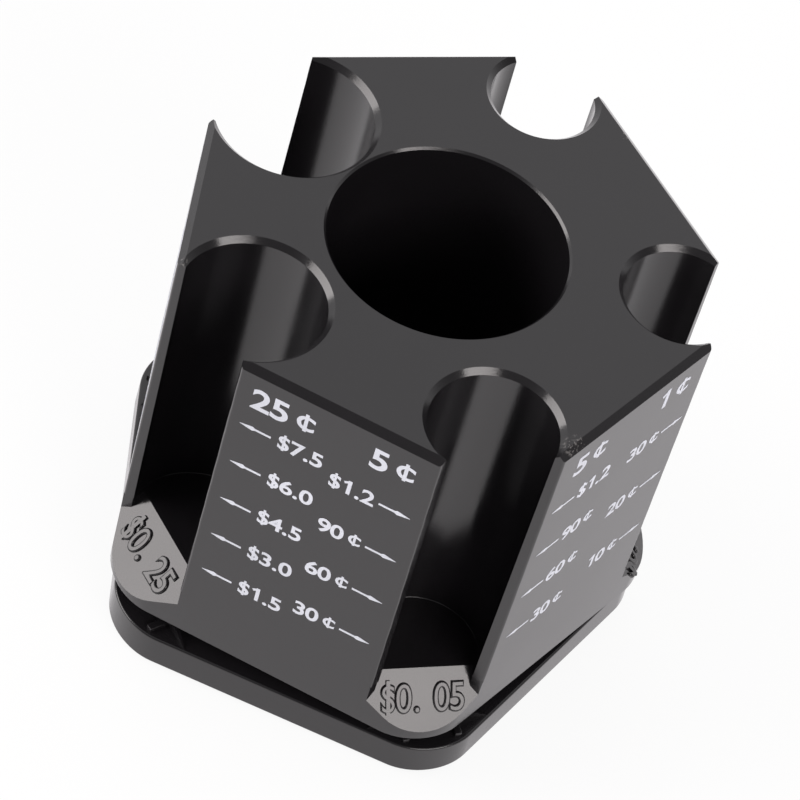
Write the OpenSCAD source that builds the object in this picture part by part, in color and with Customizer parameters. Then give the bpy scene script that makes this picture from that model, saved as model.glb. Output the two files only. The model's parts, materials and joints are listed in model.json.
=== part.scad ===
// Rotating coin tower: five open coin channels round a centre cup, on a pentagonal turning base.
// The origin is on the turning axis at the underside of the grip pad, +Z is up, and -Y points
// to the nickel channel. Sizes are millimetres.

/* [Heights] */
// Thickness of the foam grip pad under the base
pad_t = 1; // [0.6:0.1:2]
// Height of the base moulding, from its lower edge to its deck
base_h = 6.6; // [6.4:0.1:9]
// Gap between the deck and the underside of the tower
swivel_gap = 3.9; // [3.7:0.1:4.3]
// Height of the tower below its coin floors
skirt_h = 10.3; // [10:0.1:14]
// Height of the coin channels, from their floors to the top of the tower
channel_h = 63.2; // [40:0.2:90]

/* [Outline] */
// Distance from the axis to a tower face, below the coin floors
face_reach = 43.6; // [43.4:0.1:45]
// How far each face leans in between the coin floors and the top
face_lean = 0.4; // [0.1:0.1:1]
// Radius of the rounded corners of the tower
corner_r = 12; // [10:0.5:13]
// Chamfer along the top edge of each face
edge_chamfer = 1.2; // [0.6:0.1:1.6]
// Distance from the axis to a side of the base
base_reach = 43.8; // [43:0.1:45]
// Radius of the rounded corners of the base
base_corner_r = 12.5; // [10:0.5:14]
// Angle by which the base stands turned from the tower
base_turn = 4.1; // [0:0.1:8]

/* [Coin channels] */
// Diameter of the quarter channel
quarter_bore = 25; // [24.6:0.1:25.6]
// How far inside the reach of the faces the quarter channel has its centre
quarter_inset = 6.6; // [5.8:0.1:7]
// Diameter of the nickel channel
nickel_bore = 21.9; // [21.6:0.1:22.6]
// How far inside the reach of the faces the nickel channel has its centre
nickel_inset = 4.9; // [4.4:0.1:5.4]
// Diameter of the penny channel
penny_bore = 20.2; // [19.6:0.1:21]
// How far inside the reach of the faces the penny channel has its centre
penny_inset = 3.3; // [2.8:0.1:3.8]
// Diameter of the dime channel
dime_bore = 18.6; // [18.3:0.1:19.4]
// How far inside the reach of the faces the dime channel has its centre
dime_inset = 3.1; // [2.6:0.1:3.6]
// Diameter of the dollar channel
dollar_bore = 27.9; // [27.4:0.1:28.3]
// How far inside the reach of the faces the dollar channel has its centre
dollar_inset = 7.5; // [7:0.1:7.7]
// How much narrower a channel is at its floor than at its top
channel_draft = 0.4; // [0.1:0.1:0.6]
// Angle of each mouth's edge from the middle of its corner
mouth_angle = 56; // [52:1:60]
// Chamfer round the top of each channel
rim_chamfer = 0.95; // [0.5:0.05:1.1]
// How far inside the ends of a mouth its sloping lip starts
lip_setback = 2; // [1:0.1:3]
// Slope of the lip below the coin floor
lip_slope = 45; // [40:1:45]

/* [Centre cup] */
// Round of the cup's top edge, cut as a chamfer
cup_chamfer = 0.3; // [0.2:0.1:0.5]

/* [Walls] */
// Outer wall of the tower and skirt of the base
skin_t = 2; // [1.6:0.1:2.4]
// Wall round each channel and round the cup
tube_t = 1.4; // [1.2:0.1:1.6]
// Thickness of the coin floors and of the sloping lips
floor_t = 2; // [1.6:0.1:2.4]
// Thickness of the top
top_t = 2.2; // [1.8:0.1:3]
// Thickness of the deck of the base
deck_t = 2.2; // [2:0.1:2.4]

/* [Covers] */
// Thickness of the cover under the tower
cover_t = 2.4; // [2.2:0.1:2.8]
// Corner radius of the cover and its seat
cover_corner_r = 21; // [18:0.5:24]
// Thickness of the plate under the base
plate_t = 1.5; // [1.4:0.1:1.7]
// Clearance of a cover all round in its seat
cover_gap = 0.15; // [0.1:0.05:0.3]
// How far the grip pad stays inside the base's edge
pad_inset = 1.5; // [0.5:0.1:3]

/* [Screws] */
// How far inside the corners of the cover's seat its screws stand
cover_screw_inset = 10; // [9:0.1:11]
// How far inside the corners of the base its screws stand
base_screw_inset = 14.7; // [13:0.1:16]
// Diameter of a cover screw
cover_screw_d = 2.6; // [2.2:0.1:3]
// Head diameter of a cover screw
cover_head_d = 5; // [4.4:0.1:5.6]
// Head height of a cover screw
cover_head_h = 1.5; // [1.2:0.1:1.6]
// Diameter of a cover screw boss
cover_boss_d = 7; // [6:0.1:8]
// Diameter of a base screw
base_screw_d = 2.2; // [2:0.1:2.6]
// Head diameter of a countersunk base screw
base_head_d = 4.4; // [4:0.1:5]
// Diameter of a base screw boss
base_boss_d = 6; // [5.4:0.1:8]
// Material left above the end of each screw
blind_t = 1.2; // [1:0.1:1.4]

/* [Pivot] */
// Diameter of the pivot screw's shoulder
shoulder_d = 6; // [5:0.1:7]
// Diameter of the pivot screw's thread
thread_d = 4; // [3:0.5:4.5]
// Length of the pivot screw's thread
thread_l = 4.6; // [3.5:0.1:5]
// Head diameter of the pivot screw
pivot_head_d = 11; // [10:0.1:12.5]
// Head height of the pivot screw
pivot_head_h = 2.2; // [1.8:0.1:2.4]
// Thickness of the washer under the deck
washer_t = 0.6; // [0.4:0.1:0.8]
// Outer diameter of the washer
washer_d = 12.5; // [12:0.1:13]
// Wall of the bush in the deck
bush_t = 1.5; // [1.2:0.1:1.8]
// Width of the bush's flange
bush_flange_w = 1.5; // [1:0.1:2]
// Thickness of the bush's flange
bush_flange_t = 0.8; // [0.6:0.1:1]
// Diameter of the brass insert in the hub
insert_d = 6.4; // [6:0.1:7.5]
// Length of the brass insert
insert_l = 5; // [5:0.1:5.2]
// Diameter of the hub under the cup
hub_d = 14; // [12:0.5:16]
// How far the boss round the bush stands above the deck
bush_boss_h = 1.8; // [1:0.1:2]
// Radial clearance of the shoulder in the bush
running_gap = 0.05; // [0.02:0.01:0.1]
// Play between the washer and the deck
end_play = 0.1; // [0.05:0.05:0.2]

/* [Ball ring] */
// Diameter of a ball
ball_d = 4.6; // [4.5:0.1:4.7]
// How far outside the wall of the cup the balls run
ball_offset = 1.25; // [0.5:0.05:2]
// Clearance between a ball and its groove
groove_gap = 0.1; // [0.05:0.05:0.2]
// Width of a steel race
race_w = 7; // [6:0.1:8]
// Thickness of a steel race
race_t = 0.8; // [0.7:0.1:0.9]
// Width of the ball cage
cage_w = 7; // [6.6:0.1:8]
// Thickness of the ball cage
cage_t = 1.6; // [1.2:0.1:2]
// Clearance of a ball in its pocket
pocket_gap = 0.15; // [0.1:0.05:0.25]

/* [Deck fins] */
// Height of the fin across each corner of the deck
fin_h = 3.2; // [2:0.1:3.4]
// Thickness of a fin
fin_t = 1; // [0.8:0.1:1.4]
// How far inside the corner of the base the outer face of a fin stands
fin_inset = 6; // [5.6:0.1:6.8]
// Distance from each end of a fin to the edge of the deck
fin_end_gap = 1; // [0.5:0.1:3]
// Slope of the ends of a fin
fin_slope = 27; // [22:1:40]
// Length of the two small ribs outside a fin
fin_rib_l = 3.6; // [2:0.1:3.8]
// Distance of those ribs from the middle of the fin
fin_rib_reach = 4.8; // [3:0.1:6]
// Height of those ribs
fin_rib_h = 0.9; // [0.5:0.1:1.5]

/* [Hidden] */
ball_count = 12;
ball_names = [for (i = [1:ball_count]) str("bearing_ball_", i)];

$fn = 96;
side_count = 5;
step_angle = 360 / side_count;
half_angle = step_angle / 2;
over = 0.5;
// The corner rounds stand this far proud of the faces, so that the two cross and don't only touch
corner_proud = 0.01;
bores = [quarter_bore, nickel_bore, penny_bore, dime_bore, dollar_bore];
insets = [quarter_inset, nickel_inset, penny_inset, dime_inset, dollar_inset];
reaches = [for (inset = insets) face_reach - inset];
first_corner = -90 - step_angle;

deck_z = pad_t + base_h;
tower_z = deck_z + swivel_gap;
coin_floor_z = tower_z + skirt_h;
top_z = coin_floor_z + channel_h;
deck_under_z = deck_z - deck_t;
plate_top_z = pad_t + plate_t;
cover_top_z = tower_z + cover_t;
floor_under_z = coin_floor_z - floor_t;
ball_z = deck_z + swivel_gap / 2;
groove_r = ball_d / 2 + groove_gap;

inner_reach = face_reach - skin_t;
base_inner_reach = base_reach - skin_t;
base_inner_corner_r = base_corner_r - skin_t;
cup_r = min([for (i = [0:side_count - 1]) reaches[i] - bores[i] / 2]) - tube_t;
ball_reach = cup_r + ball_offset;
cover_screw_reach = corner_reach(inner_reach, cover_corner_r) - cover_screw_inset;
base_screw_reach = corner_reach(base_reach, base_corner_r) - base_screw_inset;
fin_reach = corner_reach(base_reach, base_corner_r) - fin_inset;
fin_half = (base_reach - fin_reach * cos(half_angle)) / sin(half_angle) - fin_end_gap;
bush_bore_r = shoulder_d / 2 + running_gap;
bush_r = bush_bore_r + bush_t;
bush_top_z = deck_z + bush_boss_h + bush_flange_t;
washer_top_z = deck_under_z - end_play;
head_top_z = washer_top_z - washer_t;
bush_boss_r = bush_r + bush_flange_w;
fin_run = fin_h / tan(fin_slope);

black = "#2c2c2e";
dark = "#232325";
steel = "#b4b6ba";
brass = "#b08d4a";
acetal = "#d8d6cc";
foam = "#1b1b1c";

function corner_angle(i) = first_corner + i * step_angle;
function corner_reach(reach, r) = (reach - r) / cos(half_angle) + r;
function bore_r(i) = bores[i] / 2;
function floor_r(i) = (bores[i] - channel_draft) / 2;
function lip_start(i) = reaches[i] + bore_r(i) * cos(mouth_angle) - lip_setback;

module at_corners(turn = 0) {
    for (i = [0:side_count - 1])
        rotate([0, 0, corner_angle(i) + turn])
            children();
}

// Pentagon with rounded corners, one corner towards -Y
module rounded_pentagon(reach, r) {
    centre = (reach - r) / cos(half_angle);
    polygon([for (i = [0:side_count - 1], s = [-1, 1])
        let (a = corner_angle(i), n = a + s * half_angle)
        [centre * cos(a) + r * cos(n), centre * sin(a) + r * sin(n)]]);
    for (i = [0:side_count - 1])
        rotate(corner_angle(i))
            translate([centre, 0])
                circle(r + corner_proud);
}

module prism(reach, r, z0, z1) {
    translate([0, 0, z0])
        linear_extrude(z1 - z0)
            rounded_pentagon(reach, r);
}

module ring(r_out, r_in, z0, z1) {
    difference() {
        translate([0, 0, z0])
            cylinder(h = z1 - z0, r = r_out);
        translate([0, 0, z0 - over])
            cylinder(h = z1 - z0 + 2 * over, r = r_in);
    }
}

module rod(r, z0, z1) {
    translate([0, 0, z0])
        cylinder(h = z1 - z0, r = r);
}

// Space outside the mouth's edges, seen from the channel's centre
module mouth_wedge(i) {
    far = corner_r + bore_r(i) + face_lean;
    c = far * cos(mouth_angle);
    s = far * sin(mouth_angle);
    polygon([[0, 0], [c, s], [far, s], [far, -s], [c, -s]]);
}

// One channel with its mouth, its chamfered rim and its sloping lip
module channel_space(i) {
    translate([reaches[i], 0, 0]) {
        translate([0, 0, coin_floor_z])
            cylinder(h = channel_h, r1 = floor_r(i), r2 = bore_r(i));
        translate([0, 0, top_z - rim_chamfer])
            cylinder(h = rim_chamfer + over, r1 = bore_r(i), r2 = bore_r(i) + rim_chamfer + over);
        translate([0, 0, coin_floor_z])
            linear_extrude(channel_h + over)
                mouth_wedge(i);
    }
    intersection() {
        translate([reaches[i], 0, coin_floor_z - skirt_h])
            linear_extrude(skirt_h + over) {
                circle(floor_r(i));
                mouth_wedge(i);
            }
        sloping_block(lip_start(i), coin_floor_z);
    }
}

// Everything above a plane that falls outwards from a straight line across the corner
module sloping_block(reach, z) {
    size = face_reach;
    translate([reach, 0, z])
        rotate([0, lip_slope, 0])
            translate([0, -size / 2, 0])
                cube([size, size, size]);
}

// Cuts one face to its lean and chamfers its top edge
module face_trim() {
    lean_reach = face_reach - face_lean;
    outside = face_reach + corner_r;
    rotate([90, 0, 0])
        linear_extrude(2 * outside, center = true)
            polygon([
                [face_reach, coin_floor_z],
                [lean_reach, top_z - edge_chamfer],
                [lean_reach - edge_chamfer, top_z],
                [lean_reach - edge_chamfer, top_z + over],
                [outside, top_z + over],
                [outside, coin_floor_z]
            ]);
}

// Hollow inside the tower, open below
module tower_hollow() {
    lip_shift = floor_t * tan(lip_slope / 2);
    difference() {
        prism(inner_reach, cover_corner_r, tower_z - over, top_z - top_t);
        for (i = [0:side_count - 1])
            rotate([0, 0, corner_angle(i)]) {
                translate([reaches[i], 0, 0])
                    rod(bore_r(i) + tube_t, floor_under_z, top_z);
                sloping_block(lip_start(i) - lip_shift, floor_under_z);
                translate([cover_screw_reach, 0, 0])
                    rod(cover_boss_d / 2, cover_top_z, top_z);
            }
        rod(cup_r + tube_t, floor_under_z, top_z);
        rod(hub_d / 2, cover_top_z, top_z);
    }
}

module tower_shell() {
    color(black)
        difference() {
            prism(face_reach, corner_r, tower_z, top_z);
            for (i = [0:side_count - 1])
                rotate([0, 0, corner_angle(i)]) {
                    channel_space(i);
                    translate([cover_screw_reach, 0, 0])
                        rod(cover_screw_d / 2, cover_top_z - over, coin_floor_z - blind_t);
                    rotate([0, 0, half_angle])
                        face_trim();
                }
            rod(cup_r, coin_floor_z, top_z + over);
            translate([0, 0, top_z - cup_chamfer])
                cylinder(h = cup_chamfer + over, r1 = cup_r, r2 = cup_r + cup_chamfer + over);
            rod(insert_d / 2, cover_top_z - over, cover_top_z + insert_l);
            tower_hollow();
        }
}

module tower_cover() {
    color(dark)
        difference() {
            prism(inner_reach - cover_gap, cover_corner_r - cover_gap, tower_z, cover_top_z);
            rod(bush_bore_r, tower_z - over, cover_top_z + over);
            ring(ball_reach + race_w / 2, ball_reach - race_w / 2, tower_z - over, tower_z + race_t);
            at_corners()
                translate([cover_screw_reach, 0, 0]) {
                    rod(cover_head_d / 2 + cover_gap, tower_z - over, tower_z + cover_head_h);
                    rod(cover_screw_d / 2 + cover_gap, tower_z, cover_top_z + over);
                }
        }
}

module cover_screws() {
    color(steel)
        at_corners()
            translate([cover_screw_reach, 0, 0])
                cover_screw();
}

module cover_screw() {
    difference() {
        union() {
            rod(cover_head_d / 2, tower_z, tower_z + cover_head_h);
            rod(cover_screw_d / 2, tower_z + cover_head_h, coin_floor_z - blind_t);
        }
        cross_recess(tower_z, cover_head_d, cover_head_h / 2);
    }
}

// Crossed slots in the lower face of a screw head
module cross_recess(z, head_d, depth) {
    slot = [head_d / 2, head_d / 8, depth + over];
    for (a = [0, 90])
        rotate([0, 0, a])
            translate([-slot[0] / 2, -slot[1] / 2, z - over])
                cube(slot);
}

// Flat steel ring with a ball groove round its middle
module race(z0) {
    color(steel)
        difference() {
            ring(ball_reach + race_w / 2, ball_reach - race_w / 2, z0, z0 + race_t);
            translate([0, 0, ball_z])
                rotate_extrude()
                    translate([ball_reach, 0])
                        circle(groove_r);
        }
}

module upper_race() {
    race(tower_z);
}

module lower_race() {
    race(deck_z - race_t);
}

module pivot_insert() {
    color(brass)
        ring(insert_d / 2, thread_d / 2, cover_top_z, cover_top_z + insert_l);
}

module pivot_screw() {
    color(steel)
        difference() {
            union() {
                rod(pivot_head_d / 2, head_top_z - pivot_head_h, head_top_z);
                rod(shoulder_d / 2, head_top_z, cover_top_z);
                rod(thread_d / 2, cover_top_z, cover_top_z + thread_l);
            }
            cross_recess(head_top_z - pivot_head_h, pivot_head_d, pivot_head_h / 2);
        }
}

module pivot_washer() {
    color(steel)
        ring(washer_d / 2, bush_bore_r, head_top_z, head_top_z + washer_t);
}

module pivot_bush() {
    color(acetal)
        difference() {
            union() {
                rod(bush_r, deck_under_z, bush_top_z);
                rod(bush_boss_r, bush_top_z - bush_flange_t, bush_top_z);
            }
            rod(bush_bore_r, deck_under_z - over, bush_top_z + over);
        }
}

module ball_cage() {
    color(acetal)
        difference() {
            ring(ball_reach + cage_w / 2, ball_reach - cage_w / 2,
                ball_z - cage_t / 2, ball_z + cage_t / 2);
            for (i = [1:ball_count])
                rotate([0, 0, i * 360 / ball_count])
                    translate([ball_reach, 0, 0])
                        rod(ball_d / 2 + pocket_gap, ball_z - cage_t, ball_z + cage_t);
        }
}

module bearing_ball(i) {
    color(steel)
        rotate([0, 0, i * 360 / ball_count])
            translate([ball_reach, 0, ball_z])
                sphere(d = ball_d);
}

// Low fin across one corner of the deck, with two small ribs outside it
module deck_fin() {
    translate([fin_reach - fin_t, 0, deck_z])
        rotate([90, 0, 90])
            linear_extrude(fin_t)
                polygon([
                    [-fin_half, -over],
                    [fin_half, -over],
                    [fin_half, 0],
                    [fin_half - fin_run, fin_h],
                    [fin_run - fin_half, fin_h],
                    [-fin_half, 0]
                ]);
    for (s = [-1, 1])
        translate([fin_reach - fin_t / 2, s * fin_rib_reach - fin_t / 2, deck_z - over])
            cube([fin_t / 2 + fin_rib_l, fin_t, fin_rib_h + over]);
}

module base_shell() {
    color(black)
        difference() {
            union() {
                difference() {
                    rotate([0, 0, base_turn])
                        prism(base_reach, base_corner_r, pad_t, deck_z);
                    base_hollow();
                }
                rod(bush_boss_r, deck_under_z, deck_z + bush_boss_h);
                at_corners(base_turn)
                    deck_fin();
            }
            rod(bush_r, deck_under_z - over, deck_z + bush_boss_h + over);
            ring(ball_reach + race_w / 2, ball_reach - race_w / 2, deck_z - race_t, deck_z + over);
            at_corners(base_turn)
                translate([base_screw_reach, 0, 0])
                    rod(base_screw_d / 2, plate_top_z - over, deck_z - blind_t);
        }
}

// Hollow under the deck, with a boss at each corner and ribs between the bosses and the middle
module base_hollow() {
    difference() {
        rotate([0, 0, base_turn])
            prism(base_inner_reach, base_inner_corner_r, pad_t - over, deck_under_z);
        at_corners(base_turn) {
            translate([base_screw_reach, 0, 0])
                rod(base_boss_d / 2, plate_top_z, deck_z);
            translate([washer_d, -fin_t / 2, plate_top_z])
                cube([base_screw_reach - washer_d, fin_t, base_h]);
        }
    }
}

module base_plate() {
    color(dark)
        difference() {
            rotate([0, 0, base_turn])
                prism(base_inner_reach - cover_gap, base_inner_corner_r - cover_gap, pad_t, plate_top_z);
            rod(washer_d / 2 + cover_gap, pad_t - over, plate_top_z + over);
            at_corners(base_turn)
                translate([base_screw_reach, 0, 0])
                    countersunk(cover_gap, pad_t - over, plate_top_z + over);
        }
}

// Countersunk screw or its hole: a cone head flush with the plate's underside, and a shank
module countersunk(gap, z0, z1) {
    head_r = base_head_d / 2 + gap;
    shank_r = base_screw_d / 2 + gap;
    rod(head_r, z0, pad_t);
    translate([0, 0, pad_t])
        cylinder(h = head_r - shank_r, r1 = head_r, r2 = shank_r);
    rod(shank_r, pad_t, z1);
}

module base_screws() {
    color(steel)
        at_corners(base_turn)
            translate([base_screw_reach, 0, 0])
                base_screw();
}

module base_screw() {
    head_r = base_head_d / 2;
    shank_r = base_screw_d / 2;
    difference() {
        union() {
            translate([0, 0, pad_t])
                cylinder(h = head_r - shank_r, r1 = head_r, r2 = shank_r);
            rod(shank_r, pad_t + head_r - shank_r, deck_z - blind_t);
        }
        cross_recess(pad_t, base_screw_d, (head_r - shank_r) / 2);
    }
}

module grip_pad() {
    color(foam)
        rotate([0, 0, base_turn])
            prism(base_reach - pad_inset, base_corner_r - pad_inset, 0, pad_t);
}

tower_shell();
tower_cover();
cover_screws();
upper_race();
pivot_insert();
pivot_screw();
pivot_washer();
ball_cage();
lower_race();
pivot_bush();
base_shell();
base_plate();
base_screws();
grip_pad();
for (i = [1:ball_count])
    bearing_ball(i);
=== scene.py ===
import json
import math

import bmesh
import bpy
from mathutils import Matrix, Vector


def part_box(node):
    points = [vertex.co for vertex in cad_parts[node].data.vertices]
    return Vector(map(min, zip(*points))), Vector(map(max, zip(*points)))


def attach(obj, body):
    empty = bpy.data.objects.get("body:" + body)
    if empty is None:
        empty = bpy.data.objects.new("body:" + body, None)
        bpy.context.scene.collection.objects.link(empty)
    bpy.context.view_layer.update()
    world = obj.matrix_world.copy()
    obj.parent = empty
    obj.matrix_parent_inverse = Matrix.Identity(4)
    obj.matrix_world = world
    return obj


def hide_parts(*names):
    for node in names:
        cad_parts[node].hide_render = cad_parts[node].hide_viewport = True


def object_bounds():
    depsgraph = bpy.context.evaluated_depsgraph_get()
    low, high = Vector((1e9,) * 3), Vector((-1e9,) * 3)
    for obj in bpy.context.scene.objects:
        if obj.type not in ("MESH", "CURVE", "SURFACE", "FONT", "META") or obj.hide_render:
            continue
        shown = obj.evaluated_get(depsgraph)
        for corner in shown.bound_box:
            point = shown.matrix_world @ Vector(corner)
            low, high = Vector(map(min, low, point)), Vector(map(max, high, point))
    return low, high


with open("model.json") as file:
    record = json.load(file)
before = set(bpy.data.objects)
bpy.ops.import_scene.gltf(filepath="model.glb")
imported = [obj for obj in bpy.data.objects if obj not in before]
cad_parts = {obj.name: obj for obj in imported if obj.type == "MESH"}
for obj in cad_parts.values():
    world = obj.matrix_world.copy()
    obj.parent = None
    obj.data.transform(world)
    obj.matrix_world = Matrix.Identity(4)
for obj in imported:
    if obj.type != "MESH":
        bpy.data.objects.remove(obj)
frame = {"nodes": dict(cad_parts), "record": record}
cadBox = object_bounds()

mm = 0.001
sideCount = 5
halfStep = math.radians(36)
overrun = 0.6   # how far a cutter runs past what it cuts, in mm
weld = 0.002    # points nearer than this are one, in mm
letterWeld = 0.005
channelNames = ["quarter", "nickel", "penny", "dime", "dollar"]
firstCorner = -162
cornerAngles = {name: math.radians(firstCorner + i * 360 / sideCount) for i, name in enumerate(channelNames)}


# Selecting and cutting, all in millimetres until toFrame

def clearSelection():
    if bpy.context.object and bpy.context.object.mode != "OBJECT":
        bpy.ops.object.mode_set(mode="OBJECT")
    bpy.ops.object.select_all(action="DESELECT")


def makeActive(piece):
    clearSelection()
    piece.select_set(True)
    bpy.context.view_layer.objects.active = piece


def applyPlace(piece):
    makeActive(piece)
    bpy.ops.object.transform_apply(location=True, rotation=True, scale=True)


def newest(name):
    piece = bpy.context.object
    piece.name = name
    applyPlace(piece)
    return piece


def startEdit(piece):
    makeActive(piece)
    bpy.ops.object.mode_set(mode="EDIT")


def endEdit():
    bpy.ops.object.mode_set(mode="OBJECT")


def pick(kind, rule):
    bpy.ops.mesh.select_mode(type=kind)
    bpy.ops.mesh.select_all(action="DESELECT")
    mesh = bmesh.from_edit_mesh(bpy.context.object.data)
    items = {"VERT": mesh.verts, "EDGE": mesh.edges, "FACE": mesh.faces}[kind]
    for item in items:
        if rule(item):
            item.select_set(True)
    mesh.select_flush_mode()
    bmesh.update_edit_mesh(bpy.context.object.data)


def heightIs(z):
    return lambda vert: abs(vert.co.z - z) < 0.01


# Edges of a rim, without the spokes of its cap
def edgeAt(z):
    level = heightIs(z)
    return lambda edge: all(level(vert) for vert in edge.verts) and edge.calc_face_angle(0) > 0.3


def standing(edge):
    run = edge.verts[0].co - edge.verts[1].co
    return abs(run.z) > 0.97 * run.length


def boolean(piece, tool, operation="DIFFERENCE"):
    cut = piece.modifiers.new("cut", "BOOLEAN")
    cut.operation = operation
    cut.solver = "MANIFOLD"
    cut.object = tool
    makeActive(piece)
    bpy.ops.object.modifier_apply(modifier=cut.name)
    bpy.data.objects.remove(tool, do_unlink=True)


def selectAll():
    bpy.ops.mesh.select_all(action="SELECT")


def mergePoints(distance=weld):
    selectAll()
    bpy.ops.mesh.remove_doubles(threshold=distance)


def sliceAt(place, normal):
    selectAll()
    bpy.ops.mesh.bisect(plane_co=place, plane_no=normal)


def bevelEdges(offset, segments):
    bpy.ops.mesh.bevel(offset=offset, segments=segments, profile=0.5, affect="EDGES")


def extrudeBy(x, z):
    bpy.ops.mesh.extrude_region_move(TRANSFORM_OT_translate={"value": (x, 0, z)})


def turned(piece, angle):
    piece.rotation_euler = (0, 0, angle)
    applyPlace(piece)
    return piece


def copyTurned(piece, angle):
    twin = piece.copy()
    twin.data = piece.data.copy()
    bpy.context.collection.objects.link(twin)
    return turned(twin, angle)


def smoothBy(piece, angle=32):
    makeActive(piece)
    bpy.ops.object.shade_smooth_by_angle(angle=math.radians(angle))
    even = piece.modifiers.new("even", "WEIGHTED_NORMAL")
    even.keep_sharp = True
    even.weight = 100
    bpy.ops.object.modifier_apply(modifier=even.name)


def toFrame(piece):
    piece.scale = (mm, mm, mm)
    applyPlace(piece)
    return piece


def rod(name, radius, z0, z1, x=0.0, sides=96):
    bpy.ops.mesh.primitive_cylinder_add(vertices=sides, radius=radius, depth=z1 - z0, end_fill_type="TRIFAN",
                                        location=(x, 0, (z0 + z1) / 2))
    return newest(name)


def box(name, size, centre, tilt=0.0):
    bpy.ops.mesh.primitive_cube_add(size=1, location=centre, rotation=(0, tilt, 0), scale=size)
    return newest(name)


# Pentagonal block: one corner towards the nickel channel, rounded standing edges
def pentagonBlock(name, reach, cornerRadius, z0, z1, turn=0.0, steps=12):
    bpy.ops.mesh.primitive_cylinder_add(vertices=sideCount, radius=reach / math.cos(halfStep),
                                        depth=z1 - z0, location=(0, 0, (z0 + z1) / 2),
                                        rotation=(0, 0, halfStep), end_fill_type="TRIFAN")
    block = newest(name)
    startEdit(block)
    pick("EDGE", standing)
    bevelEdges(cornerRadius * math.tan(halfStep), steps)
    endEdit()
    return turned(block, turn)


# Camera at the photograph's view

photoView = {"azimuth": -114.0945, "elevation": 49.7407, "roll": 17.2124, "distance": 642.87,
             "lens": 160.73, "sensor": 36.0, "right": -3.9641, "up": -12.5584, "height": 21.8}


def addCamera():
    azimuth, elevation, roll = (math.radians(photoView[k]) for k in ("azimuth", "elevation", "roll"))
    back = Vector((math.cos(elevation) * math.cos(azimuth),
                   math.cos(elevation) * math.sin(azimuth), math.sin(elevation)))
    side = Vector((-math.sin(azimuth), math.cos(azimuth), 0))
    rise = back.cross(side)
    right = math.cos(roll) * side + math.sin(roll) * rise
    up = math.cos(roll) * rise - math.sin(roll) * side
    place = back * photoView["distance"] - right * photoView["right"] - up * photoView["up"]
    place.z += photoView["height"]
    lens = bpy.data.cameras.new("photoCamera")
    lens.lens = photoView["lens"]
    lens.sensor_width = photoView["sensor"]
    lens.clip_start = 0.01
    camera = bpy.data.objects.new("photoCamera", lens)
    bpy.context.collection.objects.link(camera)
    turn = Matrix((right, up, back)).transposed().to_4x4()
    camera.matrix_world = Matrix.Translation(place * mm) @ turn
    bpy.context.scene.camera = camera


addCamera()
bpy.context.scene.view_settings.view_transform = "Standard"
print("stage: camera")


# Tower moulding

towerLow, towerHigh = (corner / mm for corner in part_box("tower_shell"))
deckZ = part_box("lower_race")[1].z / mm
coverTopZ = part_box("tower_cover")[1].z / mm

tower = {"lean": 0.4, "cornerRadius": 12, "topChamfer": 1.2, "floorHeight": 10.3,
         "skin": 2.0, "tubeWall": 1.4, "floorSkin": 2.0, "topSkin": 2.2, "seatRadius": 21,
         "cupRadius": 20.75, "cupRound": 0.4, "hub": 7, "screwReach": 36.46, "screwHole": 1.3,
         "screwBoss": 3.5, "screwBlind": 1.2, "insertRadius": 3.2, "insertDepth": 5, "footRound": 0.35,
         "cupFloorRound": 1.5, "rim": 0.95, "draft": 0.2, "fillet": 0.15, "mouthEdge": 0.4}
# reach and radius at the top in mm, half angle of the mouth at the top in degrees
channels = {"quarter": (37.0, 12.5, 55.5), "nickel": (38.7, 10.95, 55.0), "penny": (40.3, 10.1, 59.0),
            "dime": (40.5, 9.3, 54.5), "dollar": (36.1, 13.95, 58.0)}
mouthTaper = 3.5    # the mouth's half angle is this much less at the floor
mouthSteps = 9      # bands of the twisted cheeks
lipShift = 2.0      # from the lip's crease to the ends of the mouth
lipAngle = 56       # half angle at which these ends lie
mouthReach = 17.0   # how far out the wedge of a mouth runs
lipReach = 9.0      # how far out the cutter of a lip runs
lipStart = 2.5      # and how far in, from the crease
lipExtra = 0.15     # how much wider it is than the mouth, to each side
cornersFrom = 42    # edges further out than this are the corners of a mouth

floorZ = towerLow.z + tower["floorHeight"]
topZ = towerHigh.z
faceReach = towerHigh.y


def lipCrease(name):
    reach, radius, mouth = channels[name]
    return reach + radius * math.cos(math.radians(lipAngle)) - lipShift


# Bore of one channel: fillet round its floor, flared rim
def channelBore(name):
    reach, radius, mouth = channels[name]
    rim = tower["rim"]
    depth = topZ - rim - floorZ
    bpy.ops.mesh.primitive_cone_add(vertices=144, radius1=radius - tower["draft"], radius2=radius,
                                    depth=depth, location=(reach, 0, floorZ + depth / 2))
    bore = newest(name + "Bore")
    startEdit(bore)
    pick("FACE", lambda face: face.normal.z > 0.9)
    extrudeBy(0, rim + overrun)
    wider = 1 + (rim + overrun) / radius
    bpy.ops.transform.resize(value=(wider, wider, 1), center_override=(reach, 0, topZ))
    pick("EDGE", edgeAt(floorZ))
    bevelEdges(tower["fillet"], 5)
    endEdit()
    return bore


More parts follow.
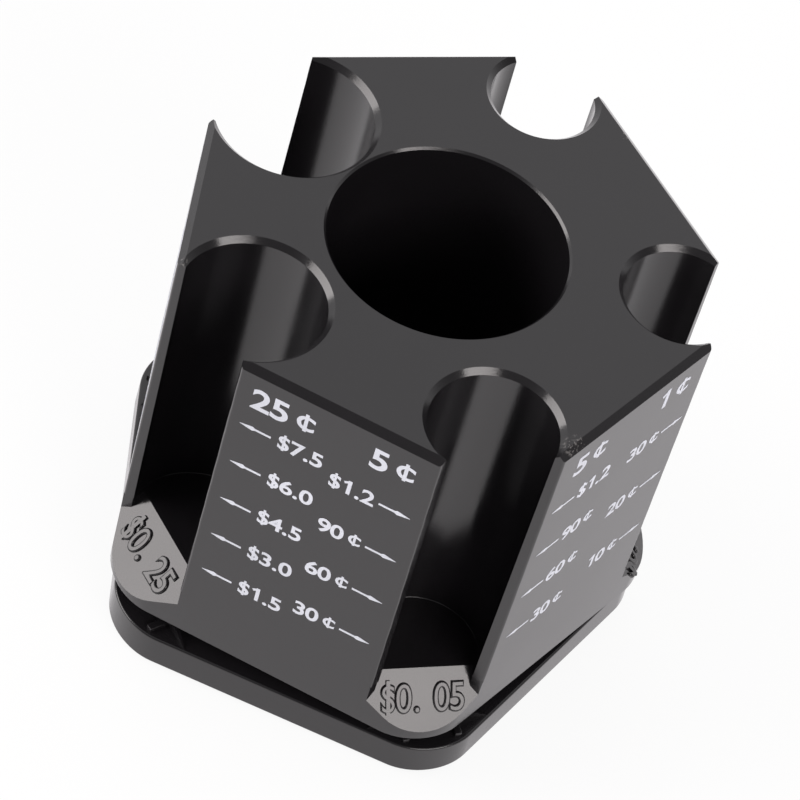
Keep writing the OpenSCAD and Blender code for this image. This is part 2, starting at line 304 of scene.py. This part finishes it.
# Wedge that opens the bore to the outside, narrower at the floor and in bands, because its cheeks twist
def channelMouth(name, narrower=0):
    reach, radius, mouth = channels[name]
    mouth -= narrower
    wedge = box(name + "Mouth", (mouthReach, 1, topZ + overrun - floorZ),
                (reach + mouthReach / 2, 0, (topZ + overrun + floorZ) / 2))
    startEdit(wedge)
    pick("VERT", lambda vert: vert.co.x < reach + 1)
    bpy.ops.transform.resize(value=(1, 0, 1), center_override=(reach, 0, floorZ))
    bpy.ops.mesh.remove_doubles(threshold=0.01)
    for side, height, angle in ((1, topZ, mouth), (-1, floorZ, mouth - mouthTaper)):
        pick("VERT", lambda vert: vert.co.x > reach + 1 and (vert.co.z - floorZ - 1) * side > 0)
        bpy.ops.transform.resize(value=(1, 2 * mouthReach * math.tan(math.radians(angle)), 1),
                                 center_override=(reach, 0, height))
    for i in range(1, mouthSteps):
        sliceAt((0, 0, floorZ + i * (topZ - floorZ) / mouthSteps), (0, 0, 1))
    endEdit()
    return wedge


# Sloping lip below the floor: straight cheeks, then the mouth's angle, on a 45 degree plane
def channelLip(name):
    reach, radius, mouth = channels[name]
    crease = lipCrease(name)
    mouthNow = math.radians(mouth - mouthTaper)
    bore = radius - tower["draft"]
    mouthX = reach + bore * math.cos(mouthNow)
    mouthHalf = bore * math.sin(mouthNow) + lipExtra
    creaseHalf = math.sqrt(bore ** 2 - (crease - reach) ** 2) - tower["fillet"]
    z0 = towerLow.z - 5 * overrun
    z1 = floorZ + tower["fillet"]
    lip = box(name + "Lip", (mouthX - crease + lipStart, 2 * creaseHalf, z1 - z0),
              ((mouthX + crease - lipStart) / 2, 0, (z0 + z1) / 2))
    startEdit(lip)
    pick("FACE", lambda face: face.normal.x > 0.9)
    bpy.ops.transform.resize(value=(1, mouthHalf / creaseHalf, 1), center_override=(mouthX, 0, floorZ))
    extrudeBy(lipReach, 0)
    bpy.ops.transform.resize(value=(1, 1 + lipReach * math.tan(mouthNow) / mouthHalf, 1),
                             center_override=(mouthX, 0, floorZ))
    selectAll()
    bpy.ops.mesh.bisect(plane_co=(crease, 0, floorZ), plane_no=(1, 0, 1), clear_inner=True, use_fill=True)
    endEdit()
    return lip


# Hollow under the top, round the channel tubes, the cup and the screw bosses
def towerHollow():
    hollow = pentagonBlock("towerHollow", faceReach - tower["skin"], tower["seatRadius"],
                           towerLow.z - overrun, topZ - tower["topSkin"])
    under = floorZ - tower["floorSkin"]
    size = faceReach
    for name in channelNames:
        reach, radius, mouth = channels[name]
        angle = cornerAngles[name]
        tube = rod("tube", radius + tower["tubeWall"], under, topZ, x=reach)
        boolean(hollow, turned(tube, angle))
        skinStart = lipCrease(name) - tower["floorSkin"] * math.tan(math.radians(22.5))
        diamond = box("lipSkin", (size, size, size), (skinStart + size / math.sqrt(2), 0, under),
                      math.radians(45))
        boolean(hollow, turned(diamond, angle))
        boss = rod("boss", tower["screwBoss"], coverTopZ, topZ, x=tower["screwReach"], sides=32)
        boolean(hollow, turned(boss, angle))
    boolean(hollow, rod("cupTube", tower["cupRadius"] + tower["tubeWall"], under, topZ, sides=128))
    boolean(hollow, rod("hub", tower["hub"], coverTopZ, topZ, sides=48))
    return hollow


def outerEdge(edge, low, high):
    middle = (edge.verts[0].co + edge.verts[1].co) / 2
    return low < middle.z < high and edge.is_manifold and edge.calc_face_angle(0) > math.radians(20)


# Five sided pyramid whose sides are the chamfers along the top
def topTrim():
    low, high = floorZ, topZ + overrun
    reachAtTop = faceReach - tower["lean"] - tower["topChamfer"]
    lowRadius, highRadius = ((reachAtTop + topZ - z) / math.cos(halfStep) for z in (low, high))
    bpy.ops.mesh.primitive_cone_add(vertices=sideCount, radius1=lowRadius, radius2=highRadius,
                                    depth=high - low, location=(0, 0, (low + high) / 2),
                                    rotation=(0, 0, halfStep))
    trim = newest("topTrim")
    startEdit(trim)
    pick("FACE", lambda face: face.normal.z < -0.9)
    extrudeBy(0, towerLow.z - overrun - low)
    endEdit()
    return trim


def makeTower():
    body = pentagonBlock("towerBody", faceReach, tower["cornerRadius"], towerLow.z, topZ)
    leanIn = 1 - tower["lean"] / faceReach
    startEdit(body)
    pick("EDGE", edgeAt(towerLow.z))
    bevelEdges(tower["footRound"], 3)
    sliceAt((0, 0, floorZ), (0, 0, 1))
    pick("VERT", heightIs(topZ))
    bpy.ops.transform.resize(value=(leanIn, leanIn, 1), center_override=(0, 0, topZ))
    endEdit()
    for name in channelNames:
        boolean(body, turned(channelMouth(name), cornerAngles[name]))

    def mouthEdge(edge):
        ends = [vert.co for vert in edge.verts]
        outside = min(end.xy.length for end in ends) > cornersFrom
        return standing(edge) and outerEdge(edge, floorZ, topZ) and outside

    startEdit(body)
    mergePoints()
    pick("EDGE", mouthEdge)
    bevelEdges(tower["mouthEdge"], 3)
    endEdit()
    boolean(body, topTrim(), "INTERSECT")
    boolean(body, towerHollow())
    for name in channelNames:
        tool = channelBore(name)
        boolean(tool, channelMouth(name, narrower=3), "UNION")
        boolean(tool, channelLip(name), "UNION")
        boolean(body, turned(tool, cornerAngles[name]))
        hole = rod("hole", tower["screwHole"], coverTopZ - overrun, floorZ - tower["screwBlind"],
                   x=tower["screwReach"], sides=24)
        boolean(body, turned(hole, cornerAngles[name]))
    cup = rod("cup", tower["cupRadius"], floorZ, topZ - tower["cupRound"], sides=160)
    startEdit(cup)
    pick("FACE", lambda face: face.normal.z > 0.9)
    extrudeBy(0, tower["cupRound"] + overrun)
    wider = 1 + (tower["cupRound"] + overrun) / tower["cupRadius"]
    bpy.ops.transform.resize(value=(wider, wider, 1), center_override=(0, 0, topZ))
    pick("EDGE", edgeAt(floorZ))
    bevelEdges(tower["cupFloorRound"], 5)
    endEdit()
    boolean(body, cup)
    boolean(body, rod("insertHole", tower["insertRadius"], coverTopZ - overrun,
                      coverTopZ + tower["insertDepth"], sides=48))
    startEdit(body)
    mergePoints()
    selectAll()
    bpy.ops.mesh.vert_connect_nonplanar(angle_limit=math.radians(0.2))
    endEdit()
    return body


towerPiece = makeTower()
print("stage: tower", len(towerPiece.data.polygons), "faces")


# Base moulding

baseLow, baseHigh = (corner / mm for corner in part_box("base_shell"))
base = {"turn": 4.1, "reach": 43.8, "draft": 0.2, "cornerRadius": 12.5, "skin": 2.0, "deck": 2.2,
        "rimRound": 0.4, "footRound": 0.4, "bossRadius": 3, "screwReach": 36.49, "screwHole": 1.1,
        "ribStart": 12.5, "ribWidth": 1.0, "ribHeight": 6.6,
        "bushHole": 4.55, "bushBoss": 6.05, "bushBossHeight": 1.8,
        "ballReach": 22, "raceWidth": 7, "raceDepth": 0.8, "plateTop": 2.5, "blind": 1.2}
fins = {"reach": 45.19, "half": 11.3, "height": 3.2, "thickness": 1.3, "foot": 0.15, "slope": 27,
        "ribReach": 4.8, "ribLength": 3.6, "ribHeight": 0.9, "ribRound": 0.2}
baseTurn = math.radians(base["turn"])


def makeFin():
    across = 2 * fins["half"]
    fin = box("fin", (fins["thickness"], across, fins["height"] + overrun),
              (fins["reach"] - fins["thickness"] / 2, 0, deckZ + (fins["height"] - overrun) / 2))
    run = fins["height"] / math.tan(math.radians(fins["slope"]))
    startEdit(fin)
    sliceAt((0, 0, deckZ), (0, 0, 1))
    pick("VERT", heightIs(deckZ + fins["height"]))
    bpy.ops.transform.resize(value=(1, 1 - run / fins["half"], 1), center_override=(0, 0, deckZ))
    pick("VERT", lambda vert: vert.co.z < deckZ + 0.01 and abs(vert.co.y) > fins["half"] - 0.1)
    bpy.ops.transform.resize(value=(fins["foot"] / fins["thickness"], 1, 1),
                             center_override=(fins["reach"], 0, 0))
    endEdit()
    for side in (-1, 1):
        rib = box("rib", (fins["ribLength"] + 0.5, fins["thickness"], fins["ribHeight"] + overrun),
                  (fins["reach"] + fins["ribLength"] / 2 - 0.25, side * fins["ribReach"],
                   deckZ + (fins["ribHeight"] - overrun) / 2))
        startEdit(rib)
        pick("EDGE", lambda edge: outerEdge(edge, deckZ, deckZ + 9))
        bevelEdges(fins["ribRound"], 2)
        endEdit()
        boolean(fin, rib, "UNION")
    return fin


def makeBase():
    body = pentagonBlock("baseBody", base["reach"], base["cornerRadius"], baseLow.z, deckZ, baseTurn,
                         steps=16)
    drawIn = 1 - base["draft"] / base["reach"]
    startEdit(body)
    pick("VERT", heightIs(deckZ))
    bpy.ops.transform.resize(value=(drawIn, drawIn, 1), center_override=(0, 0, deckZ))
    pick("EDGE", edgeAt(deckZ))
    bevelEdges(base["rimRound"], 5)
    pick("EDGE", edgeAt(baseLow.z))
    bevelEdges(base["footRound"], 3)
    endEdit()
    under = deckZ - base["deck"]
    hollow = pentagonBlock("baseHollow", base["reach"] - base["skin"], base["cornerRadius"] - base["skin"],
                           baseLow.z - overrun, under, baseTurn)
    for angle in cornerAngles.values():
        boss = rod("boss", base["bossRadius"], base["plateTop"], deckZ, x=base["screwReach"], sides=32)
        boolean(hollow, turned(boss, angle + baseTurn))
        ribLength = base["screwReach"] - base["ribStart"]
        rib = box("rib", (ribLength, base["ribWidth"], base["ribHeight"]),
                  (base["ribStart"] + ribLength / 2, 0, base["plateTop"] + base["ribHeight"] / 2))
        boolean(hollow, turned(rib, angle + baseTurn))
    boolean(body, hollow)
    boolean(body, rod("bushBoss", base["bushBoss"], under, deckZ + base["bushBossHeight"], sides=64), "UNION")
    fin = makeFin()
    for angle in cornerAngles.values():
        boolean(body, copyTurned(fin, angle + baseTurn), "UNION")
    bpy.data.objects.remove(fin, do_unlink=True)
    boolean(body, rod("bushHole", base["bushHole"], under - overrun, deckZ + 3, sides=64))
    innerReach, outerReach = (base["ballReach"] + side * base["raceWidth"] / 2 for side in (-1, 1))
    groove = rod("groove", outerReach, deckZ - base["raceDepth"], deckZ + 1, sides=128)
    boolean(groove, rod("core", innerReach, deckZ - 2, deckZ + 2, sides=128))
    boolean(body, groove)
    for angle in cornerAngles.values():
        hole = rod("hole", base["screwHole"], base["plateTop"] - overrun, deckZ - base["blind"],
                   x=base["screwReach"], sides=24)
        boolean(body, turned(hole, angle + baseTurn))
    startEdit(body)
    mergePoints()
    endEdit()
    return body


basePiece = makeBase()
print("stage: base", len(basePiece.data.polygons), "faces")

for piece, name, node, body in ((towerPiece, "towerMoulding", "tower_shell", "tower"),
                                (basePiece, "baseMoulding", "base_shell", "base")):
    piece.name = name
    toFrame(piece)
    smoothBy(piece)
    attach(piece, body)
    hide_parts(node)


# Printed scales on the faces, and raised values on the lips

# Place on a face of the tower, its Z outwards and its X to the right
def faceMatrix(angle, along, height):
    outward = Vector((math.cos(angle), math.sin(angle), tower["lean"] / (topZ - floorZ))).normalized()
    right = Vector((-math.sin(angle), math.cos(angle), 0))
    up = outward.cross(right)
    reach = faceReach - tower["lean"] * (height - floorZ) / (topZ - floorZ)
    place = Vector((math.cos(angle), math.sin(angle), 0)) * reach + right * along
    place.z = height
    turn = Matrix((right, up, outward)).transposed().to_4x4()
    return Matrix.Translation(place) @ turn


# heights in mm; steps, widths, bars and bold as shares of the height
digitLook = {"digitStep": 0.7, "pointStep": 0.38, "stretch": 1.08, "bold": 0.028, "thickness": 0.03,
             "slope": 0}
titleStyle = dict(digitLook, height=4.9)
rowStyle = dict(digitLook, height=3.4)
lipStyle = {"height": 5.3, "digitStep": 0.53, "pointStep": 0.38, "stretch": 0.86, "bold": -0.01,
            "thickness": 0.1, "slope": 0.32}
signs = {"centLead": 0.24, "centStep": 0.72, "centLetter": 0.66, "centBar": 0.86, "dollarBar": 1.16,
         "bar": 0.13, "dollarLetter": 0.94, "stem": 0.2, "stemShift": 0.06,
         "flag": 0.42, "flagWidth": 0.15, "flagTilt": 28, "flagRight": 0.14, "flagUp": 0.45}
arrows = {"length": 5.7, "line": 0.46, "head": 2.3, "width": 1.0, "back": 0.5, "point": 0.15}
sideAngles = {"quarterNickel": -126, "nickelPenny": -54, "pennyDime": 18, "dimeDollar": 90,
              "dollarQuarter": 162}
scales = {
    "quarter": {"title": "25¢", "rows": ["$1.5", "$3.0", "$4.5", "$6.0", "$7.5"], "first": 9.15,
                "step": 10.08},
    "nickel": {"title": "5¢", "rows": ["30¢", "60¢", "90¢", "$1.2"], "first": 11.3, "step": 11.79},
    "penny": {"title": "1¢", "rows": ["10¢", "20¢", "30¢"], "first": 15.0, "step": 15.2},
    "dime": {"title": "10¢", "rows": ["$1.0", "$2.0", "$3.0"], "first": 13.0, "step": 13.5},
    "dollar": {"title": "$1", "rows": ["$6", "$12", "$18", "$24"], "first": 11.5, "step": 12.0}}
tipPlaces = {"quarter": 15.1, "nickel": 16.6, "penny": 17.9, "dime": 18.2, "dollar": 14.6}
titlePlaces = {"left": -14.2, "right": 15.4}
rowGaps = {"quarter": 1.15, "nickel": 0.8, "penny": 0.8, "dime": 1.0, "dollar": 0.4}   # tail to value
rowLift = 0.25      # how far a value stands above its arrow
titleHeight = 56.9  # from the channels' floor
capShare = 0.73     # height of a digit in the font's own size
printParts = []


def joined(parts, name):
    clearSelection()
    for part in parts:
        part.select_set(True)
    bpy.context.view_layer.objects.active = parts[0]
    bpy.ops.object.join()
    whole = bpy.context.object
    whole.name = name
    return whole


def letter(char, style, share=1.0):
    clearSelection()
    bpy.ops.object.text_add()
    text = bpy.context.object
    text.data.body = char
    text.data.size = share * style["height"] / capShare
    text.data.align_x = "CENTER"
    text.data.extrude = style["thickness"]
    text.data.offset = style["bold"] * style["height"]
    text.data.bevel_depth = style["slope"]
    text.data.bevel_resolution = 2
    makeActive(text)
    bpy.ops.object.convert(target="MESH")
    piece = bpy.context.object
    startEdit(piece)
    mergePoints(letterWeld)
    bpy.ops.mesh.normals_make_consistent(inside=False)
    endEdit()
    piece.scale = (style["stretch"], 1, 1)
    piece.location = (0, -share * style["height"] / 2, 0)
    applyPlace(piece)
    return piece


# Bar through a letter, a little thinner than it
def signBar(style, share):
    height = style["height"]
    tall = 1.98 * (style["thickness"] + style["slope"])
    return box("bar", (signs["bar"] * height, share * height, tall), (0, 0, 0))


# A one with a flag, which the font's own lacks
def digitOne(style):
    height = style["height"]
    tall = 2 * (style["thickness"] + style["slope"])
    stem = box("one", (signs["stem"] * height, height, tall), (signs["stemShift"] * height, 0, 0))
    flag = box("flag", (signs["flag"] * height, signs["flagWidth"] * height, 0.99 * tall),
               (-signs["flag"] * height / 2, 0, 0))
    flag.rotation_euler = (0, 0, math.radians(signs["flagTilt"]))
    flag.location = (signs["flagRight"] * height, signs["flagUp"] * height, 0)
    applyPlace(flag)
    return joined([stem, flag], "one")


# One word in the plane z = 0; share is how much of it lies left of the origin
def lettering(text, style, share):
    height = style["height"]
    parts = []
    run = 0
    for char in text:
        step = style["digitStep"] * height
        if char == ".":
            step = style["pointStep"] * height
            part = letter(char, style)
        elif char == " ":
            run += style["pointStep"] * height
            continue
        elif char == "¢":
            run += signs["centLead"] * height
            step = signs["centStep"] * height
            bar = signBar(style, signs["centBar"])
            part = joined([letter("C", style, signs["centLetter"]), bar], "cent")
        elif char == "$":
            bar = signBar(style, signs["dollarBar"])
            part = joined([letter("S", style, signs["dollarLetter"]), bar], "dollar")
        elif char == "1":
            part = digitOne(style)
        else:
            part = letter(char, style)
        part.location = (run + step / 2, 0, 0)
        applyPlace(part)
        parts.append(part)
        run += step
    whole = joined(parts, "lettering")
    whole.location = (-share * run, 0, 0)
    applyPlace(whole)
    return whole


def placed(piece, matrix):
    piece.matrix_world = matrix
    applyPlace(piece)
    return piece


def arrow(angle, tip, height, inward):
    length, line, head, width = (arrows[key] for key in ("length", "line", "head", "width"))
    piece = box("arrow", (length, line, 2 * rowStyle["thickness"]), (inward * length / 2, 0, 0))
    startEdit(piece)
    for place in (head, head + arrows["back"]):
        sliceAt((inward * place, 0, 0), (1, 0, 0))
    pick("VERT", lambda vert: abs(vert.co.x - inward * head) < 0.01)
    bpy.ops.transform.resize(value=(1, width / line, 1), center_override=(inward * head, 0, 0))
    pick("VERT", lambda vert: abs(vert.co.x) < 0.01)
    bpy.ops.transform.resize(value=(1, arrows["point"], 1), center_override=(0, 0, 0))
    endEdit()
    return placed(piece, faceMatrix(angle, tip, height))


def printScale(sideName, channel, side):
    angle = math.radians(sideAngles[sideName])
    scale = scales[channel]
    inward = 1 if side == "left" else -1
    share = 0 if side == "left" else 1
    tip = -inward * tipPlaces[channel]
    start = tip + inward * (arrows["length"] + rowGaps[channel])
    title = lettering(scale["title"], titleStyle, share)
    printParts.append(placed(title, faceMatrix(angle, titlePlaces[side], floorZ + titleHeight)))
    for i, text in enumerate(scale["rows"]):
        height = floorZ + scale["first"] + i * scale["step"]
        printParts.append(arrow(angle, tip, height, inward))
        value = lettering(text, rowStyle, share)
        printParts.append(placed(value, faceMatrix(angle, start, height + rowLift)))


for sideName, left, right in (("quarterNickel", "quarter", "nickel"), ("nickelPenny", "nickel", "penny"),
                              ("pennyDime", "penny", "dime"), ("dimeDollar", "dime", "dollar"),
                              ("dollarQuarter", "dollar", "quarter")):
    printScale(sideName, left, "left")
    printScale(sideName, right, "right")

printedPiece = toFrame(joined(printParts, "printedScales"))
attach(printedPiece, "tower")

lipWords = {"quarter": "$0. 25", "nickel": "$0. 05", "penny": "$0. 01", "dime": "$0. 10", "dollar": "$1. 00"}
lipDown = 5.1       # from the lip's crease down its slope to the middle of the value


def lipMatrix(name):
    angle = cornerAngles[name]
    out = Vector((math.cos(angle), math.sin(angle), 0))
    normal = (out + Vector((0, 0, 1))).normalized()
    right = Vector((-math.sin(angle), math.cos(angle), 0))
    up = normal.cross(right)
    place = out * lipCrease(name)
    place.z = floorZ
    turn = Matrix((right, up, normal)).transposed().to_4x4()
    return Matrix.Translation(place - up * lipDown) @ turn


lipValues = [placed(lettering(text, lipStyle, 0.5), lipMatrix(name)) for name, text in lipWords.items()]
lipPiece = joined(lipValues, "raisedValues")
toFrame(lipPiece)
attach(lipPiece, "tower")
print("stage: marks")


# Finishes

def newMaterial(name):
    material = bpy.data.materials.new(name)
    material.use_nodes = True
    return material, material.node_tree.nodes, material.node_tree.links


# centre and reach of each scuffed spot in mm, at corners of the tower's top
scuffs = {"nickelTip": ((11.6, -43.3, 84.5), 1.9), "nickelFace": ((13.3, -42.1, 84.3), 1.4),
          "quarterTip": ((-45.6, -3.2, 84.6), 1.2), "dimeTip": ((36.6, 23.4, 84.6), 1.3)}
wear = {"core": 0.3, "noise": 1900, "above": 0.53, "below": 0.66, "colour": (0.20, 0.19, 0.185),
        "roughness": 0.5}
dust = {"cells": 110, "size": 0.011, "rare": 0.8, "colour": (0.42, 0.42, 0.42)}
texture = {"cloud": 60, "from": 0.3, "to": 0.7, "dark": 0.85, "light": 1.2, "grain": 2600, "depth": 0.00006}
plating = {"cloud": 400, "smooth": 0.8, "rough": 1.3, "dark": 0.9}


def mapRange(nodes, low, high, toLow=0.0, toHigh=1.0):
    node = nodes.new("ShaderNodeMapRange")
    node.inputs["From Min"].default_value = low
    node.inputs["From Max"].default_value = high
    node.inputs["To Min"].default_value = toLow
    node.inputs["To Max"].default_value = toHigh
    return node


def mathNode(nodes, links, operation, first, second):
    node = nodes.new("ShaderNodeMath")
    node.operation = operation
    links.new(first, node.inputs[0])
    if isinstance(second, float):
        node.inputs[1].default_value = second
    else:
        links.new(second, node.inputs[1])
    return node.outputs["Value"]


def mixColour(nodes, links, factor, first, second):
    node = nodes.new("ShaderNodeMix")
    node.data_type = "RGBA"
    links.new(factor, node.inputs["Factor"])
    for socket, colour in (("A", first), ("B", second)):
        if isinstance(colour, tuple):
            node.inputs[socket].default_value = (*colour, 1)
        else:
            links.new(colour, node.inputs[socket])
    return node.outputs["Result"]


def noise(nodes, links, place, scale, detail=3):
    node = nodes.new("ShaderNodeTexNoise")
    node.inputs["Scale"].default_value = scale
    node.inputs["Detail"].default_value = detail
    links.new(place, node.inputs["Vector"])
    return node.outputs["Fac"]


# How worn each point is, 0 to 1: grainy near the scuffed corners
def scuffMask(nodes, links, place):
    mask = None
    for centre, reach in scuffs.values():
        away = nodes.new("ShaderNodeVectorMath")
        away.operation = "DISTANCE"
        away.inputs[1].default_value = [c * mm for c in centre]
        links.new(place, away.inputs[0])
        near = mapRange(nodes, wear["core"] * reach * mm, reach * mm, 1, 0)
        links.new(away.outputs["Value"], near.inputs["Value"])
        near = near.outputs["Result"]
        mask = near if mask is None else mathNode(nodes, links, "MAXIMUM", mask, near)
    grit = mapRange(nodes, wear["above"], wear["below"])
    links.new(noise(nodes, links, place, wear["noise"]), grit.inputs["Value"])
    return mathNode(nodes, links, "MULTIPLY", mask, grit.outputs["Result"])


# Few small specks of dust
def dustMask(nodes, links, place):
    cells = nodes.new("ShaderNodeTexVoronoi")
    cells.inputs["Scale"].default_value = dust["cells"]
    links.new(place, cells.inputs["Vector"])
    speck = mathNode(nodes, links, "LESS_THAN", cells.outputs["Distance"], dust["size"])
    chosen = nodes.new("ShaderNodeSeparateColor")
    links.new(cells.outputs["Color"], chosen.inputs["Color"])
    rare = mathNode(nodes, links, "GREATER_THAN", chosen.outputs["Red"], dust["rare"])
    return mathNode(nodes, links, "MULTIPLY", speck, rare)


def mouldedPlastic(name, colour, roughness, grain=0.15, spread=0.06, worn=False):
    material, nodes, links = newMaterial(name)
    shader = nodes["Principled BSDF"]
    shader.inputs["IOR"].default_value = 1.5
    place = nodes.new("ShaderNodeTexCoord").outputs["Object"]
    cloud = noise(nodes, links, place, texture["cloud"], detail=5)
    rough = mapRange(nodes, texture["from"], texture["to"], roughness - spread, roughness + spread)
    links.new(cloud, rough.inputs["Value"])
    rough = rough.outputs["Result"]
    dark, light = (tuple(c * texture[side] for c in colour) for side in ("dark", "light"))
    shade = mixColour(nodes, links, cloud, dark, light)
    if worn:
        scuffed = scuffMask(nodes, links, place)
        shade = mixColour(nodes, links, scuffed, shade, wear["colour"])
        shade = mixColour(nodes, links, dustMask(nodes, links, place), shade, dust["colour"])
        scuffed = mathNode(nodes, links, "MULTIPLY", scuffed, wear["roughness"])
        rough = mathNode(nodes, links, "ADD", rough, scuffed)
    links.new(rough, shader.inputs["Roughness"])
    links.new(shade, shader.inputs["Base Color"])
    bump = nodes.new("ShaderNodeBump")
    bump.inputs["Strength"].default_value = grain
    bump.inputs["Distance"].default_value = texture["depth"]
    links.new(noise(nodes, links, place, texture["grain"]), bump.inputs["Height"])
    links.new(bump.outputs["Normal"], shader.inputs["Normal"])
    return material


def metal(name, colour, roughness):
    material, nodes, links = newMaterial(name)
    shader = nodes["Principled BSDF"]
    shader.inputs["Metallic"].default_value = 1
    place = nodes.new("ShaderNodeTexCoord").outputs["Object"]
    cloud = noise(nodes, links, place, plating["cloud"], detail=2)
    rough = mapRange(nodes, 0, 1, roughness * plating["smooth"], roughness * plating["rough"])
    links.new(cloud, rough.inputs["Value"])
    links.new(rough.outputs["Result"], shader.inputs["Roughness"])
    dark = tuple(c * plating["dark"] for c in colour)
    links.new(mixColour(nodes, links, cloud, dark, colour), shader.inputs["Base Color"])
    return material


blackMoulding = mouldedPlastic("blackMoulding", (0.0085, 0.0078, 0.0088), 0.17, spread=0.03, worn=True)
darkMoulding = mouldedPlastic("darkMoulding", (0.010, 0.010, 0.0105), 0.5)
acetal = mouldedPlastic("whiteAcetal", (0.72, 0.71, 0.66), 0.42)
foam = mouldedPlastic("gripFoam", (0.012, 0.012, 0.012), 0.85, grain=0.6)
whitePrint = mouldedPlastic("whitePrint", (0.60, 0.62, 0.68), 0.55, grain=0.1)
zincSteel = metal("zincSteel", (0.62, 0.63, 0.65), 0.32)
ballSteel = metal("ballSteel", (0.72, 0.73, 0.75), 0.12)
brass = metal("brass", (0.69, 0.52, 0.25), 0.3)

finishes = {"black_moulding": blackMoulding, "dark_moulding": darkMoulding, "white_acetal": acetal,
            "steel_fittings": zincSteel, "ball_steel": ballSteel, "brass_insert": brass, "grip_foam": foam}


def dress(piece, material):
    piece.data.materials.clear()
    piece.data.materials.append(material)


for part in frame["record"]["subparts"]:
    node = frame["nodes"][part["node"]]
    for slot in node.material_slots:
        slot.material = finishes[part["material_slot"]]
dress(towerPiece, blackMoulding)
dress(basePiece, blackMoulding)
dress(lipPiece, blackMoulding)
dress(printedPiece, whitePrint)
print("stage: finishes")


# Floor, world and lamps

# lengths in metres
paper = {"side": 6, "below": 0.0001, "colour": (0.85, 0.85, 0.85), "roughness": 0.9, "glow": 0.9,
         "mirrored": 1.6, "mirroredShare": 0.4, "tint": (1, 0.97, 1)}
room = {"front": 0.25, "back": 1.15, "seen": 1.0, "tint": (1, 0.985, 1)}


def makeFloor():
    clearSelection()
    bpy.ops.mesh.primitive_plane_add(size=paper["side"], location=(0, 0, cadBox[0].z - paper["below"]))
    floor = newest("floor")
    material, nodes, links = newMaterial("floorPaper")
    shader = nodes["Principled BSDF"]
    shader.inputs["Base Color"].default_value = (*paper["colour"], 1)
    shader.inputs["Roughness"].default_value = paper["roughness"]
    path = nodes.new("ShaderNodeLightPath")
    glow = nodes.new("ShaderNodeEmission")
    glow.inputs["Strength"].default_value = 1
    mirrored = nodes.new("ShaderNodeEmission")
    mirrored.inputs["Color"].default_value = (*paper["tint"], 1)
    mirrored.inputs["Strength"].default_value = paper["mirrored"]
    share = mathNode(nodes, links, "MULTIPLY", path.outputs["Is Camera Ray"], paper["glow"])
    seen = nodes.new("ShaderNodeMixShader")
    whole = nodes.new("ShaderNodeMixShader")
    links.new(share, seen.inputs["Fac"])
    links.new(shader.outputs["BSDF"], seen.inputs[1])
    links.new(glow.outputs["Emission"], seen.inputs[2])
    gloss = mathNode(nodes, links, "MULTIPLY", path.outputs["Is Glossy Ray"], paper["mirroredShare"])
    links.new(gloss, whole.inputs["Fac"])
    links.new(seen.outputs["Shader"], whole.inputs[1])
    links.new(mirrored.outputs["Emission"], whole.inputs[2])
    links.new(whole.outputs["Shader"], nodes["Material Output"].inputs["Surface"])
    dress(floor, material)


def makeWorld():
    world = bpy.data.worlds.new("studio")
    bpy.context.scene.world = world
    world.use_nodes = True
    nodes, links = world.node_tree.nodes, world.node_tree.links
    back = nodes["Background"]
    back.inputs["Color"].default_value = (*room["tint"], 1)
    place = nodes.new("ShaderNodeTexCoord")
    parts = nodes.new("ShaderNodeSeparateXYZ")
    links.new(place.outputs["Generated"], parts.inputs["Vector"])
    depth = mapRange(nodes, -0.5, 0.5, room["front"], room["back"])
    depth.interpolation_type = "SMOOTHSTEP"
    links.new(parts.outputs["Y"], depth.inputs["Value"])
    path = nodes.new("ShaderNodeLightPath")
    strength = nodes.new("ShaderNodeMix")
    links.new(path.outputs["Is Camera Ray"], strength.inputs["Factor"])
    links.new(depth.outputs["Result"], strength.inputs["A"])
    strength.inputs["B"].default_value = room["seen"]
    links.new(strength.outputs["Result"], back.inputs["Strength"])


# azimuth and height in degrees as seen from the object, distance and size in metres
softboxes = {
    "frontSoftbox": {"azimuth": -71, "height": 33, "distance": 1.1, "size": (0.75, 0.42), "power": 7.5},
    "leftSoftbox": {"azimuth": 163, "height": 26, "distance": 1.1, "size": (0.8, 0.5), "power": 8}}
lampColour = (1, 0.95, 0.94)


def addSoftbox(name):
    values = softboxes[name]
    light = bpy.data.lights.new(name, "AREA")
    light.shape = "RECTANGLE"
    light.size, light.size_y = values["size"]
    light.energy = values["power"]
    light.color = lampColour
    lamp = bpy.data.objects.new(name, light)
    bpy.context.collection.objects.link(lamp)
    azimuth, height = math.radians(values["azimuth"]), math.radians(values["height"])
    level = math.cos(height)
    away = Vector((math.cos(azimuth) * level, math.sin(azimuth) * level, math.sin(height)))
    lamp.location = away * values["distance"] + Vector((0, 0, floorZ * mm))
    lamp.rotation_euler = away.to_track_quat("Z", "Y").to_euler()


makeFloor()
makeWorld()
for name in softboxes:
    addSoftbox(name)
print("stage: lights")
